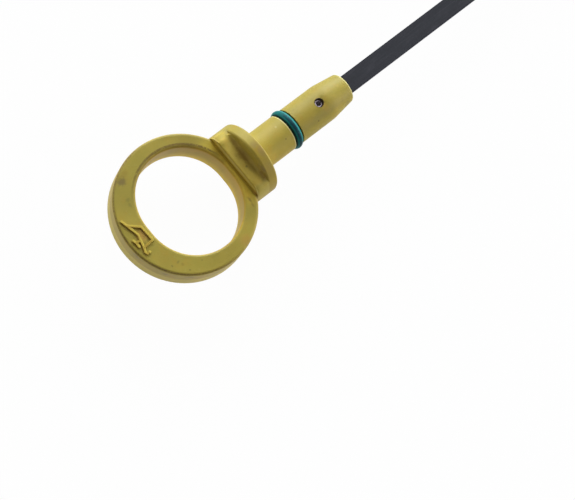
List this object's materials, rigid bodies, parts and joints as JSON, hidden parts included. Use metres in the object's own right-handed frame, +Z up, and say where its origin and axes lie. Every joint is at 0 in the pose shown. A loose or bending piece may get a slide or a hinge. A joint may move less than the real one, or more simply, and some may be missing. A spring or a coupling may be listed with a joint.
{
  "type": "engine oil dipstick",
  "caption": "Pull-out oil level gauge: moulded finger ring with stop flange and sealed plug, and a flat steel blade with level marks.",
  "frame": {"origin": "on the stick's axis, at the centre of the tube seat, the flange face that stops against the mouth of the oil tube", "axes": "+X is level and runs towards the blade's tip, with the stick's own axis dipping 1.8 degrees below it as the part lies; +Z is up, out of the ring's face that carries the symbol; +Y is across the ring"},
  "size_m": [0.3748, 0.04, 0.0219],
  "materials": {
    "yellow_nylon": "moulded, satin, a little soiled",
    "seal_rubber": "smooth, oily sheen",
    "pin_steel": "dull, dirty steel",
    "dark_steel": "blackened spring steel, faint streaks"
  },
  "bodies": {
    "root": {"handle": "yellow_nylon", "sealing_ring": "seal_rubber", "retaining_pin": "pin_steel", "blade": "dark_steel"}
  },
  "joints": []
}
